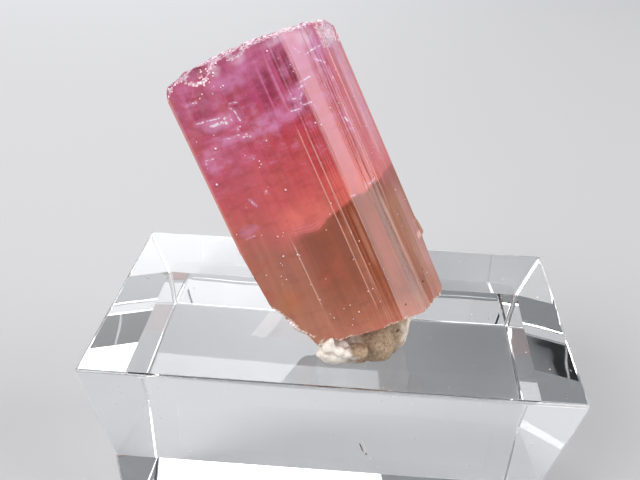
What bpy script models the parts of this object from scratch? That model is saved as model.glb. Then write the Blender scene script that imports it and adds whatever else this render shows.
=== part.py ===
"""A stout two-coloured tourmaline crystal, held by a lump of mounting tack on a clear display base.

The base stands on the world origin, at the middle of its underside. The crystal is modelled
upright in its own frame, looking along +Y at its broad face, and then leaned into place.
"""

import math
import random

import bmesh
import bpy
from mathutils import Euler, Vector, noise

MM = 0.001

# Display base: a tier that draws in below its top edge, on a foot with a little draft.
BASE_WIDTH = 32.0 * MM
BASE_DEPTH = 22.4 * MM
BASE_HEIGHT = 14.0 * MM
TIER_HEIGHT = 7.55 * MM
TIER_INSET = 1.9 * MM
FOOT_DRAFT = math.radians(5.0)
TOP_EDGE_RADIUS = 0.40 * MM
CORNER_RADIUS = 0.3 * MM
LOWER_EDGE_RADIUS = 0.15 * MM

# Crystal: where the middle of its lower end is, and how the upright prism is leaned. Its own
# sizes are in millimetres in its upright frame: X to the right, Y away from the viewer, Z up.
CRYSTAL_PLACE = Vector((2.36, -6.33, 15.74)) * MM
CRYSTAL_LEAN = Euler([math.radians(a) for a in (-14.4, -24.7, 14.0)], "XYZ")
CRYSTAL_LENGTH = 20.0
TAPER = 0.012
LEFT_EDGE = Vector((-5.55, -2.2))

# The uncut prism runs past both ends of the crystal, and has this many sections.
PRISM_SPAN = (-2.0, 21.5)
PRISM_STATIONS = 13

# Round the prism from its left edge: where each face looks, in degrees from straight ahead,
# its width, and how many fine ridges run down it.
PRISM_FACES = [
    (-17, 3.35, 2),
    (-13, 3.15, 3),
    (-4, 0.45, 0),
    (10, 0.90, 3),
    (33, 1.40, 0),
    (48, 1.30, 2),
    (56, 0.65, 0),
    (64, 2.75, 4),
    (105, 2.05, 3),
    (135, 1.00, 1),
    (160, 2.00, 3),
    (176, 3.00, 4),
    (205, 2.60, 3),
    (225, 1.60, 1),
    (238, 1.50, 1),
    (250, 3.20, 3),
]
# Ridges that stand out: face, share of its width, ridge width, height, and where it runs.
BOLD_RIDGES = [
    (1, 0.02, 0.20, 0.07, 3.0, 8.6),
    (2, 0.02, 0.20, 0.10, 2.0, 14.5),
    (3, 0.02, 0.20, 0.10, 3.2, 14.5),
    (4, 0.00, 0.16, 0.07, 0.0, 20.0),
    (5, 0.00, 0.16, 0.06, 0.0, 20.0),
    (6, 0.10, 0.16, 0.07, 7.0, 17.0),
    (7, 0.06, 0.16, 0.07, 12.0, 20.0),
]
FINE_RIDGE_WIDTH = 0.16
FINE_RIDGE_HEIGHT = (0.02, 0.06)
FINE_RIDGE_START = (-4.0, 9.0)
FINE_RIDGE_RUN = (8.0, 18.0)
RIDGE_GAP = 0.03
RIDGE_CREST = 0.1
RIDGE_FADE = 1.6
FAINTEST_RIDGE = 0.12

# The worn top: a low crown, highest here and falling this far towards the sides and the back.
TOP_HEIGHT = 19.9
TOP_MIDDLE_X = -0.5
TOP_FALL_X, TOP_FALL_Y = 0.62, 0.30
HALF_WIDTH, HALF_DEPTH = 5.6, 4.2

# The broken lower end: its front edge from left to right, and its slope up to the back.
LOWER_EDGE = [
    (-6.6, 5.6),
    (-5.2, 4.2),
    (-4.9, 3.95),
    (-4.7, 3.3),
    (-4.5, 2.55),
    (-4.2, 2.1),
    (-3.75, 1.6),
    (-3.65, 1.0),
    (-3.1, 1.0),
    (-2.6, 1.2),
    (-2.3, 0.95),
    (-1.5, 0.95),
    (0.4, 0.88),
    (2.1, 0.75),
    (2.7, 0.55),
    (3.5, 0.07),
    (4.3, -0.1),
    (4.5, 0.0),
    (5.1, -0.6),
    (6.6, -0.7),
]
LOWER_FRONT = -3.8
LOWER_RISE_TO_BACK = 0.22
LOWER_RELIEF_FADE = 2.0

# Ledges and then pits on both ends: height, waves per millimetre along X and Y, and a seed.
TOP_RELIEF = [(0.16, 0.55, 0.8, 2.3), (0.07, 1.9, 1.9, 7.1)]
LOWER_RELIEF = [(0.22, 0.7, 0.7, 1.0), (0.12, 1.7, 1.7, 3.0)]
END_CELL = 0.40
SLAB_HALF_X, SLAB_HALF_Y = 6.6, 5.6
SLAB_TOP, SLAB_BOTTOM = 24.0, -4.0

# Chips struck from the crystal: centre, then the half sizes of the flake that is missing.
CHIPS = [
    ((-6.00, -1.6, 19.8), (0.62, 1.3, 0.62)),
    ((-3.15, -3.2, 19.5), (0.85, 0.55, 0.95)),
    ((-1.20, -3.75, 20.0), (0.90, 0.5, 0.5)),
    ((0.50, -4.1, 19.95), (0.70, 0.45, 0.45)),
    ((3.60, -2.9, 19.9), (0.70, 0.6, 0.4)),
    ((6.60, -0.2, 19.6), (0.90, 2.6, 1.7)),
    ((-4.30, 2.2, 19.5), (1.30, 1.4, 0.9)),
    ((1.40, 4.8, 19.7), (1.60, 0.9, 1.1)),
    ((-5.30, -2.9, 4.9), (0.45, 0.5, 0.9)),
    ((4.90, 3.9, 1.6), (1.30, 0.9, 1.7)),
]
CHIP_BUMP = 0.16
CHIP_WAVES = 1.6
# Long flakes gone from the edges low down: side, the flake's top, and how far out the edge is
# left there and at the lower end.
FLAKES = [
    (1, 4.05, 5.54, 5.30),
    (-1, 8.50, 5.50, 4.55),
]
FLAKE_LEDGE = 0.1
FLAKE_DEPTH = 14.0
FLAKE_REACH = 7.5
FLAKE_BOTTOM = -3.0

# Tack: blobs pressed together under the crystal, as centre and half sizes in millimetres, then
# lumps and dents as height and waves per millimetre.
TACK_BLOBS = [
    ((0.15, -7.3, 14.6), (1.25, 1.1, 1.3)),
    ((1.3, -7.0, 14.7), (1.3, 1.3, 1.5)),
    ((2.5, -6.1, 15.0), (1.6, 1.9, 1.8)),
    ((3.5, -5.3, 15.6), (1.4, 1.8, 2.2)),
    ((4.2, -5.0, 16.6), (0.95, 1.2, 1.5)),
    ((2.0, -4.4, 14.8), (2.3, 2.1, 1.6)),
    ((4.0, -4.9, 17.6), (1.1, 1.6, 1.3)),
]
TACK_LUMPS = [(0.28, 0.9), (0.12, 2.2)]
TACK_VOXEL = 0.33 * MM
TACK_FLOOR = (30.0 * MM, 30.0 * MM, 8.0 * MM)
CLEARANCE = 0.3 * MM


def clear_scene():
    for obj in list(bpy.data.objects):
        bpy.data.objects.remove(obj, do_unlink=True)


def new_collection(name):
    collection = bpy.data.collections.new(name)
    bpy.context.scene.collection.children.link(collection)
    return collection


def finish_material(name, colour, roughness, transmission=0.0, ior=1.5):
    material = bpy.data.materials.new(name)
    material.use_nodes = True
    shader = material.node_tree.nodes["Principled BSDF"]
    shader.inputs["Base Color"].default_value = (*colour, 1.0)
    shader.inputs["Roughness"].default_value = roughness
    shader.inputs["Metallic"].default_value = 0.0
    shader.inputs["Transmission Weight"].default_value = transmission
    shader.inputs["IOR"].default_value = ior
    return material


def object_from(bm, name, collection, material=None):
    mesh = bpy.data.meshes.new(name)
    bm.normal_update()
    bm.to_mesh(mesh)
    bm.free()
    obj = bpy.data.objects.new(name, mesh)
    collection.objects.link(obj)
    if material:
        mesh.materials.append(material)
    return obj


def cut(target, cutter):
    cutter.hide_render = True
    cutter.display_type = "WIRE"
    modifier = target.modifiers.new("cut " + cutter.name, "BOOLEAN")
    modifier.operation = "DIFFERENCE"
    modifier.object = cutter


def applied(obj):
    """Freeze the object's modifiers into its mesh."""
    graph = bpy.context.evaluated_depsgraph_get()
    mesh = bpy.data.meshes.new_from_object(obj.evaluated_get(graph))
    obj.modifiers.clear()
    obj.data = mesh


# ------------------------------------------------------------------ display base


def make_base(collection):
    """The tier grows upwards and outwards from the top of the foot."""
    tier_bottom = BASE_HEIGHT - TIER_HEIGHT
    draft = tier_bottom * math.tan(FOOT_DRAFT)
    half = Vector((BASE_WIDTH / 2 - TIER_INSET, BASE_DEPTH / 2 - TIER_INSET, 0))
    bm = bmesh.new()
    bmesh.ops.create_cube(bm, size=2.0)
    for vert in bm.verts:
        inset = draft if vert.co.z < 0 else 0.0
        vert.co.x *= half.x - inset
        vert.co.y *= half.y - inset
        vert.co.z = 0.0 if vert.co.z < 0 else tier_bottom
    top = max(bm.faces, key=lambda face: face.calc_center_median().z)
    grown = bmesh.ops.extrude_face_region(bm, geom=[top])
    bmesh.ops.delete(bm, geom=[top], context="FACES_ONLY")
    for vert in grown["geom"]:
        if isinstance(vert, bmesh.types.BMVert):
            vert.co.x = math.copysign(BASE_WIDTH / 2, vert.co.x)
            vert.co.y = math.copysign(BASE_DEPTH / 2, vert.co.y)
            vert.co.z = BASE_HEIGHT

    def is_level(edge, height):
        return all(abs(vert.co.z - height) < 0.01 * MM for vert in edge.verts)

    uprights = [edge for edge in bm.edges if abs(edge.verts[0].co.z - edge.verts[1].co.z) > MM]
    bmesh.ops.bevel(bm, geom=uprights, offset=CORNER_RADIUS, segments=3, profile=0.5, affect="EDGES")
    rim = [edge for edge in bm.edges if is_level(edge, BASE_HEIGHT)]
    bmesh.ops.bevel(bm, geom=rim, offset=TOP_EDGE_RADIUS, segments=3, profile=0.5, affect="EDGES")
    hem = [edge for edge in bm.edges if is_level(edge, 0.0)]
    bmesh.ops.bevel(bm, geom=hem, offset=LOWER_EDGE_RADIUS, segments=2, profile=0.5, affect="EDGES")
    acrylic = finish_material("clear acrylic", (0.93, 0.94, 0.95), 0.03, 1.0, 1.49)
    return object_from(bm, "display_base", collection, acrylic)


# ------------------------------------------------------------------ crystal


def prism_corners():
    """Corners round the prism at its top. What is left open at the end is shared out behind."""
    corners = [LEFT_EDGE.copy()]
    for turn, width, _ in PRISM_FACES:
        angle = math.radians(turn)
        corners.append(corners[-1] + width * Vector((math.cos(angle), math.sin(angle))))
    gap = corners[0] - corners[-1]
    first = sum(turn < 90 for turn, _, _ in PRISM_FACES)
    behind = len(PRISM_FACES) - first
    for step in range(1, behind + 1):
        corners[first + step] += gap * step / behind
    return corners


def ridges_by_face():
    """For each face, its ridges from one side to the other, clear of each other."""
    rng = random.Random(11)
    table = []
    for face, (_, width, fine) in enumerate(PRISM_FACES):
        ridges = [bold[1:] for bold in BOLD_RIDGES if bold[0] == face]
        for slot in range(fine):
            share = (slot + rng.uniform(0.55, 0.85)) / (fine + 0.5)
            low = rng.uniform(*FINE_RIDGE_START)
            run = (low, low + rng.uniform(*FINE_RIDGE_RUN))
            ridges.append((share, FINE_RIDGE_WIDTH, rng.uniform(*FINE_RIDGE_HEIGHT), *run))
        placed = []
        for share, ridge_width, height, low, high in sorted(ridges):
            middle = max(share * width, ridge_width * 0.6)
            if placed:
                clear = (placed[-1][1] + ridge_width) / 2 + RIDGE_GAP
                middle = max(middle, placed[-1][0] + clear)
            if middle + ridge_width * 0.6 < width:
                placed.append((middle, ridge_width, height, low, high))
        table.append(placed)
    return table


def ridge_strength(height, low, high):
    rise = min(1.0, max(0.0, (height - low) / RIDGE_FADE))
    fall = min(1.0, max(0.0, (high - height) / RIDGE_FADE))
    return FAINTEST_RIDGE + (1.0 - FAINTEST_RIDGE) * min(rise, fall)


def prism_ring(corners, table, height):
    """One section of the prism, with every ridge as a foot, a crest and a foot."""
    scale = 1.0 - TAPER * (1.0 - height / CRYSTAL_LENGTH)
    ring = []
    for start, end, ridges in zip(corners, corners[1:], table):
        along = (end - start).normalized()
        outward = Vector((along.y, -along.x))
        ring.append(start * scale)
        for middle, width, crest, low, high in ridges:
            lift = crest * ridge_strength(height, low, high)
            for offset, out in ((-0.5, 0.0), (RIDGE_CREST, lift), (0.5, 0.0)):
                ring.append((start + along * (middle + offset * width) + outward * out) * scale)
    return [Vector((point.x, point.y, height)) * MM for point in ring]


def loft(bm, rings):
    """A closed skin through rings that have the same number of points."""
    rows = [[bm.verts.new(point) for point in ring] for ring in rings]
    count = len(rows[0])
    for low, high in zip(rows, rows[1:]):
        for i in range(count):
            j = (i + 1) % count
            bm.faces.new((low[i], low[j], high[j], high[i]))
    bm.faces.new(rows[0][::-1])
    bm.faces.new(rows[-1])


def make_prism(collection, material):
    """The uncut prism, longer than the crystal at both ends."""
    corners, table = prism_corners(), ridges_by_face()
    low, high = PRISM_SPAN
    rings = []
    for station in range(PRISM_STATIONS):
        height = low + (high - low) * station / (PRISM_STATIONS - 1)
        rings.append(prism_ring(corners, table, height))
    bm = bmesh.new()
    loft(bm, rings)
    return object_from(bm, "tourmaline_crystal", collection, material)


def lower_edge_at(x):
    for (x0, z0), (x1, z1) in zip(LOWER_EDGE, LOWER_EDGE[1:]):
        if x <= x1:
            return z0 + (z1 - z0) * max(0.0, x - x0) / (x1 - x0)
    return LOWER_EDGE[-1][1]


def relief(x, y, terms):
    return sum(
        height * noise.noise(Vector((x * waves_x, y * waves_y, seed)))
        for height, waves_x, waves_y, seed in terms
    )


def top_surface(x, y):
    across, back = (x - TOP_MIDDLE_X) / HALF_WIDTH, y / HALF_DEPTH
    crown = TOP_HEIGHT - TOP_FALL_X * across**2 - TOP_FALL_Y * back**2
    return crown + relief(x, y, TOP_RELIEF)


def lower_surface(x, y):
    """The broken lower end, which gets rougher and rises behind its front edge."""
    behind = y - LOWER_FRONT
    fade = min(1.0, max(0.0, behind / LOWER_RELIEF_FADE))
    return lower_edge_at(x) + LOWER_RISE_TO_BACK * behind + relief(x, y, LOWER_RELIEF) * fade


def rough_slab(name, collection, surface, reach, drop=0.0):
    """A thick slab with one rough side, where surface(x, y) is, reaching to the height given."""
    bm = bmesh.new()
    columns, rows = round(2 * SLAB_HALF_X / END_CELL), round(2 * SLAB_HALF_Y / END_CELL)
    bmesh.ops.create_grid(bm, x_segments=columns, y_segments=rows, size=1.0)
    for vert in bm.verts:
        x, y = vert.co.x * SLAB_HALF_X, vert.co.y * SLAB_HALF_Y
        vert.co = Vector((x * MM, y * MM, surface(x, y) * MM - drop))
    grown = bmesh.ops.extrude_face_region(bm, geom=bm.faces[:])
    for vert in grown["geom"]:
        if isinstance(vert, bmesh.types.BMVert):
            vert.co.z = reach * MM
    bmesh.ops.recalc_face_normals(bm, faces=bm.faces[:])
    return object_from(bm, name, collection)


def chip_cutter(name, collection, centre, half, seed):
    bm = bmesh.new()
    bmesh.ops.create_icosphere(bm, subdivisions=2, radius=1.0)
    for vert in bm.verts:
        bump = 1.0 + CHIP_BUMP * noise.noise(vert.co * CHIP_WAVES + Vector((seed, 0, 0)))
        for axis in range(3):
            vert.co[axis] = (centre[axis] + vert.co[axis] * half[axis] * bump) * MM
    return object_from(bm, name, collection)


def flake_cutter(name, collection, side, top, edge_above, edge_below):
    """A wedge beside the prism, which leaves a small ledge above the flake it takes."""
    bm = bmesh.new()
    bmesh.ops.create_cube(bm, size=1.0)
    for vert in bm.verts:
        upper, outer = vert.co.z > 0, vert.co.x * side > 0
        edge = edge_above if upper else edge_below
        ledge = top + FLAKE_LEDGE if outer else top
        reach = FLAKE_REACH if outer else edge
        height = ledge if upper else FLAKE_BOTTOM
        vert.co = Vector((reach * side, vert.co.y * FLAKE_DEPTH, height)) * MM
    return object_from(bm, name, collection)


def place_with_crystal(obj):
    obj.location = CRYSTAL_PLACE
    obj.rotation_euler = CRYSTAL_LEAN


def make_crystal(collection, cutters):
    tourmaline = finish_material("tourmaline", (0.62, 0.20, 0.24), 0.08, 0.6, 1.63)
    crystal = make_prism(collection, tourmaline)
    tools = [
        rough_slab("top_cutter", cutters, top_surface, SLAB_TOP),
        rough_slab("lower_cutter", cutters, lower_surface, SLAB_BOTTOM),
    ]
    for number, flake in enumerate(FLAKES):
        tools.append(flake_cutter(f"flake_cutter_{number + 1}", cutters, *flake))
    for number, chip in enumerate(CHIPS):
        tools.append(chip_cutter(f"chip_cutter_{number + 1}", cutters, *chip, number * 3.0))
    for tool in tools:
        cut(crystal, tool)
    for obj in [crystal, *tools]:
        place_with_crystal(obj)
    return crystal


# ------------------------------------------------------------------ tack


def make_tack(collection, cutters):
    bm = bmesh.new()
    for centre, half in TACK_BLOBS:
        made = bmesh.ops.create_icosphere(bm, subdivisions=3, radius=1.0)
        for vert in made["verts"]:
            for axis in range(3):
                vert.co[axis] = (centre[axis] + vert.co[axis] * half[axis]) * MM
    putty = finish_material("mounting tack", (0.72, 0.64, 0.53), 0.75)
    tack = object_from(bm, "mounting_tack", collection, putty)
    remesh = tack.modifiers.new("press together", "REMESH")
    remesh.mode = "VOXEL"
    remesh.voxel_size = TACK_VOXEL
    applied(tack)
    for vert in tack.data.vertices:
        lump = sum(height * noise.noise(vert.co / MM * waves) for height, waves in TACK_LUMPS)
        vert.co += vert.normal * lump * MM

    floor = bmesh.new()
    bmesh.ops.create_cube(floor, size=1.0)
    bmesh.ops.scale(floor, vec=TACK_FLOOR, verts=floor.verts)
    floor_middle = Vector((0, 0, BASE_HEIGHT + CLEARANCE - TACK_FLOOR[2] / 2))
    bmesh.ops.translate(floor, vec=floor_middle, verts=floor.verts)
    cut(tack, object_from(floor, "tack_floor_cutter", cutters))
    seat = rough_slab("tack_seat_cutter", cutters, lower_surface, SLAB_TOP, drop=CLEARANCE)
    place_with_crystal(seat)
    cut(tack, seat)
    return tack


def main():
    clear_scene()
    parts = new_collection("tourmaline_on_display_base")
    cutters = new_collection("cutters")
    make_base(parts)
    make_crystal(parts, cutters)
    make_tack(parts, cutters)


main()
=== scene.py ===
import itertools
import math
import random

import bmesh
import bpy
import numpy as np
from mathutils import Euler, Matrix, Vector, noise


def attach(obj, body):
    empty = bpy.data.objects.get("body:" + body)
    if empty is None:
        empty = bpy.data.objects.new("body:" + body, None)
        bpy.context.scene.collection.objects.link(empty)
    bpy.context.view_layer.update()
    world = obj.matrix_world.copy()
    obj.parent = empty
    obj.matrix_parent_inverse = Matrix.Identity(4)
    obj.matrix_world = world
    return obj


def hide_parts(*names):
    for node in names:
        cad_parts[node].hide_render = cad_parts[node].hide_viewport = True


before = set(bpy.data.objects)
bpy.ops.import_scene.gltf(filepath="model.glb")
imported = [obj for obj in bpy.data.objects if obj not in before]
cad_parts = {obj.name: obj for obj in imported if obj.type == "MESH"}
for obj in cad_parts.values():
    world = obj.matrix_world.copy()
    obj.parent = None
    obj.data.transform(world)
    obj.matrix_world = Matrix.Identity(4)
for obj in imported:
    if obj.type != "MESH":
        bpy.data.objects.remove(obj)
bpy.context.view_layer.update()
mm = 0.001


# general helpers

def srgb(red, green, blue):
    # screen colour, 0 to 255, to the linear values that a shader takes
    shares = [value / 255 for value in (red, green, blue)]
    linear = [share / 12.92 if share <= 0.04045 else ((share + 0.055) / 1.055) ** 2.4 for share in shares]
    return (*linear, 1.0)


def turned(degrees):
    return Euler([math.radians(turn) for turn in degrees])


def pickOnly(obj):
    if bpy.context.mode != "OBJECT":
        bpy.ops.object.mode_set(mode="OBJECT")
    bpy.ops.object.select_all(action="DESELECT")
    obj.select_set(True)
    bpy.context.view_layer.objects.active = obj


def openEdit(obj, kind, action="DESELECT"):
    pickOnly(obj)
    bpy.ops.object.mode_set(mode="EDIT")
    bpy.ops.mesh.select_mode(type=kind)
    bpy.ops.mesh.select_all(action=action)


def selectEdges(obj, test):
    bpy.ops.mesh.select_all(action="DESELECT")
    edit = bmesh.from_edit_mesh(obj.data)
    for edge in edit.edges:
        edge.select_set(test(*(vert.co for vert in edge.verts)))
    bmesh.update_edit_mesh(obj.data)


def selectFaces(obj, test):
    # the test takes how far up a face looks, from -1 to 1
    bpy.ops.mesh.select_all(action="DESELECT")
    edit = bmesh.from_edit_mesh(obj.data)
    for face in edit.faces:
        face.select_set(test(face.normal.z))
    bmesh.update_edit_mesh(obj.data)


def extrude(rise=0.0):
    bpy.ops.mesh.extrude_region_move(TRANSFORM_OT_translate={"value": (0, 0, rise * mm)})


def addModifier(obj, kind, **settings):
    pickOnly(obj)
    modifier = obj.modifiers.new(kind.lower(), kind)
    for name, value in settings.items():
        setattr(modifier, name, value)
    bpy.ops.object.modifier_apply(modifier=modifier.name)


def addPebble(centre, half, turn=(0, 0, 0), fine=2, rough=0.0, waves=1.0, shift=(0, 0, 0)):
    # a ball squashed to these half sizes, its skin lumpy by rough
    bpy.ops.object.select_all(action="DESELECT")
    bpy.ops.mesh.primitive_ico_sphere_add(subdivisions=fine, radius=1)
    pebble = bpy.context.object
    for vert in pebble.data.vertices:
        vert.co *= 1 + rough * noise.noise(vert.co * waves + Vector(shift))
    pebble.scale, pebble.rotation_euler, pebble.location = half, turn, centre
    bpy.ops.object.transform_apply(location=True, rotation=True, scale=True)
    return pebble


def joinPieces(pieces, name):
    pickOnly(pieces[0])
    for piece in pieces:
        piece.select_set(True)
    bpy.ops.object.join()
    joined = bpy.context.object
    joined.name = joined.data.name = name
    return joined


def settle(obj, replaced, material):
    # puts the place into the mesh and hands the piece to the frame
    pickOnly(obj)
    bpy.ops.object.transform_apply(location=True, rotation=True, scale=True)
    obj.data.materials.clear()
    obj.data.materials.append(material)
    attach(obj, "root")
    if replaced:
        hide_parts(replaced)
    return obj


# node helpers

def newMaterial(name):
    material = bpy.data.materials.new(name)
    material.use_nodes = True
    tree = material.node_tree
    return material, tree, tree.nodes["Principled BSDF"]


def feed(node, links):
    # each socket takes a plain value, or a link from another node
    for socket, source in links:
        if hasattr(source, "is_linked"):
            node.id_data.links.new(source, node.inputs[socket])
        else:
            node.inputs[socket].default_value = source
    return node


def place(beside, kind, links=(), **settings):
    # beside is the tree, or any socket in it
    node = beside.id_data.nodes.new(kind)
    for name, value in settings.items():
        setattr(node, name, value)
    return feed(node, links)


def firstSocket(*sources):
    return next(source for source in sources if hasattr(source, "is_linked"))


def calc(operation, first, second=0.0, third=0.0, clamp=False):
    links = [(0, first), (1, second), (2, third)]
    beside = firstSocket(first, second, third)
    return place(beside, "ShaderNodeMath", links, operation=operation, use_clamp=clamp).outputs[0]


def times(first, second):
    return calc("MULTIPLY", first, second)


def minus(first, second):
    return calc("SUBTRACT", first, second)


def timesPlus(first, second, third):
    return calc("MULTIPLY_ADD", first, second, third)


def apart(value, middle):
    return calc("ABSOLUTE", minus(value, middle))


def spread(value, low, high, outLow=0.0, outHigh=1.0):
    links = [(0, value), (1, low), (2, high), (3, outLow), (4, outHigh)]
    return place(value, "ShaderNodeMapRange", links, interpolation_type="SMOOTHSTEP").outputs[0]


def blendColour(share, first, second, mode="MIX"):
    links = [(0, share), (6, first), (7, second)]
    beside = firstSocket(share, first, second)
    return place(beside, "ShaderNodeMix", links, data_type="RGBA", blend_type=mode).outputs[2]


def tint(share, colour, shade, mode="MIX"):
    return blendColour(share, colour, srgb(*shade), mode)


def colourRamp(value, stops, smooth="LINEAR"):
    node = place(value, "ShaderNodeValToRGB", [(0, value)])
    ramp = node.color_ramp
    ramp.interpolation = smooth
    while len(ramp.elements) < len(stops):
        ramp.elements.new(0.5)
    for element, (position, colour) in zip(ramp.elements, stops):
        element.position = position
        element.color = colour
    return node.outputs[0]


def clouds(spot, scale, detail=2.0, roughness=0.5):
    links = [("Vector", spot), ("Scale", scale), ("Detail", detail), ("Roughness", roughness)]
    return place(spot, "ShaderNodeTexNoise", links).outputs[0]


def splitSpot(spot):
    return place(spot, "ShaderNodeSeparateXYZ", [(0, spot)]).outputs


def splitColour(colour):
    return place(colour, "ShaderNodeSeparateColor", [(0, colour)]).outputs


def objectSpot(tree, links, **settings):
    # a place on the piece, moved and scaled
    links = [("Vector", place(tree, "ShaderNodeTexCoord").outputs["Object"])] + links
    return place(tree, "ShaderNodeMapping", links, **settings).outputs[0]


def addBump(height, strength, distance):
    links = [("Height", height), ("Strength", strength), ("Distance", distance * mm)]
    return place(height, "ShaderNodeBump", links).outputs[0]


def addAbsorption(tree, look):
    links = [("Color", (*look["absorption"], 1)), ("Density", look["density"])]
    absorb = place(tree, "ShaderNodeVolumeAbsorption", links)
    tree.links.new(absorb.outputs[0], tree.nodes["Material Output"].inputs["Volume"])


def makeGroup(name, inputs, output, pattern):
    # a node group with these named inputs and first values, and one output
    group = bpy.data.node_groups.new(name, "ShaderNodeTree")
    for socketName, value in inputs:
        kind = "NodeSocketFloat" if isinstance(value, float) else "NodeSocketVector"
        socket = group.interface.new_socket(socketName, in_out="INPUT", socket_type=kind)
        socket.default_value = value
    group.interface.new_socket(output, in_out="OUTPUT", socket_type="NodeSocketFloat")
    given = place(group, "NodeGroupInput").outputs[:len(inputs)]
    result = place(group, "NodeGroupOutput")
    group.links.new(pattern(*given), result.inputs[0])
    return group


def useGroup(group, *values):
    # values in the order of the group's inputs
    return place(firstSocket(*values), "ShaderNodeGroup", enumerate(values), node_tree=group).outputs[0]


def streakPattern(spot, across, along, seed):
    # streaks that run along local z: across and along are waves per millimetre
    x, y, z = splitSpot(spot)
    parts = [timesPlus(x, across, seed), times(y, across), times(z, along)]
    stretched = place(spot, "ShaderNodeCombineXYZ", enumerate(parts))
    return spread(clouds(stretched.outputs[0], 1.0, 2.0, 0.6), 0.25, 0.75)


def speckPattern(spot, cells, size, share):
    # small round specks: cells per millimetre, radius in millimetres, share of cells that hold one
    found = place(spot, "ShaderNodeTexVoronoi", [("Vector", spot), ("Scale", cells)]).outputs
    reach = times(size, cells)
    near = minus(reach, found["Distance"])
    soft = calc("DIVIDE", near, times(reach, 0.4), clamp=True)
    held = calc("LESS_THAN", splitColour(found["Color"])[0], share)
    return times(soft, held)


def zonePattern(spot, centre, half):
    # a soft egg-shaped zone: 1 in its middle, 0 outside half
    away = place(spot, "ShaderNodeVectorMath", [(0, spot), (1, centre)], operation="SUBTRACT").outputs[0]
    scaled = place(spot, "ShaderNodeVectorMath", [(0, away), (1, half)], operation="DIVIDE").outputs[0]
    length = place(spot, "ShaderNodeVectorMath", [(0, scaled)], operation="LENGTH").outputs["Value"]
    return spread(length, 1.0, 0.3)


def patchPattern(x, z, left, right, bottom, top):
    # a soft-edged box on the front: 1 inside, 0 outside
    masks = []
    for spot, low, high, soft in ((x, left, right, 0.7), (z, bottom, top, 0.45)):
        middle = times(calc("ADD", low, high), 0.5)
        half = times(minus(high, low), 0.5)
        masks.append(spread(calc("DIVIDE", apart(spot, middle), half), 1.0, soft))
    return times(*masks)


def veinPattern(x, z, fromX, fromZ, toX, toZ, width):
    # how far off the line from one spot to another a point lies, in widths
    wayX, wayZ = minus(toX, fromX), minus(toZ, fromZ)
    goneX, goneZ = minus(x, fromX), minus(z, fromZ)
    reach = timesPlus(goneX, wayX, times(goneZ, wayZ))
    whole = timesPlus(wayX, wayX, times(wayZ, wayZ))
    share = calc("DIVIDE", reach, whole, clamp=True)
    offX = minus(goneX, times(wayX, share))
    offZ = minus(goneZ, times(wayZ, share))
    square = timesPlus(offX, offX, times(offZ, offZ))
    return calc("DIVIDE", calc("SQRT", square), width)


origin = ("Vector", (0, 0, 0))
flatSpot = [("X", 0.0), ("Z", 0.0)]
boxSides = [("Left", -1.0), ("Right", 1.0), ("Bottom", -1.0), ("Top", 1.0)]
lineEnds = [("From X", 0.0), ("From Z", 0.0), ("To X", 0.0), ("To Z", 1.0), ("Width", 0.05)]
speckInputs = [origin, ("Cells", 1.0), ("Size", 0.08), ("Share", 0.5)]
streakInputs = [origin, ("Across", 2.0), ("Along", 0.05), ("Seed", 0.0)]
streaks = makeGroup("lengthwiseStreaks", streakInputs, "Value", streakPattern)
specks = makeGroup("scatteredSpecks", speckInputs, "Mask", speckPattern)
zone = makeGroup("softZone", [origin, ("Centre", (0, 0, 0)), ("Half", (1, 1, 1))], "Mask", zonePattern)
patch = makeGroup("softPatch", flatSpot + boxSides, "Mask", patchPattern)
vein = makeGroup("crackDistance", flatSpot + lineEnds, "Widths", veinPattern)


# tourmaline crystal: sizes in millimetres in its own upright frame, z along the prism

crystalShape = {
    "place": (2.36, -6.33, 15.74),
    "lean": (-14.4, -24.7, 14.0),
    "length": 20.0,
    "smoothAngle": 9,
    "taper": 0.012,
    "leftEdge": (-5.55, -2.2),
    # round from the left edge: turn in degrees, width, width of a striation, its relief
    "faces": [
        (-17, 3.35, 0.24, 0.005), (-13, 3.15, 0.18, 0.009), (-4, 0.45, 0.12, 0.012), (10, 0.9, 0.12, 0.018),
        (33, 1.4, 0.4, 0.002), (48, 1.3, 0.15, 0.022), (56, 0.65, 0.15, 0.012), (64, 2.75, 0.26, 0.008),
        (105, 2.05, 0.18, 0.025), (135, 1.0, 0.16, 0.02), (160, 2.0, 0.16, 0.026),
        (176, 3.0, 0.18, 0.022), (205, 2.6, 0.16, 0.026), (225, 1.6, 0.18, 0.012), (238, 1.5, 0.16, 0.022),
        (250, 3.2, 0.18, 0.02),
    ],
    # bold ridges: face, share of its width, ridge width, height, where it runs
    "boldRidges": [
        (1, 0.02, 0.12, 0.045, 3.0, 8.6), (2, 0.02, 0.12, 0.055, 2.0, 14.5),
        (3, 0.02, 0.12, 0.055, 3.2, 14.5), (4, 0.0, 0.1, 0.04, 5.5, 20.0),
        (5, 0.0, 0.1, 0.035, 8.0, 20.0), (6, 0.1, 0.1, 0.04, 7.0, 17.0), (7, 0.06, 0.1, 0.04, 12.0, 20.0),
    ],
    "stepWidth": 0.018,
    "ridgeFade": 1.6,
    "faceWave": 0.007,
    # rings up the walls: how many, and how far up each run of them ends
    "wallRings": [(34, 0.13), (66, 0.86), (42, 1.0)],
    # rings over each end, crowded towards the rim
    "capRings": 34,
    "capCrowd": 1.5,
    "seed": 7,
}
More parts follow.
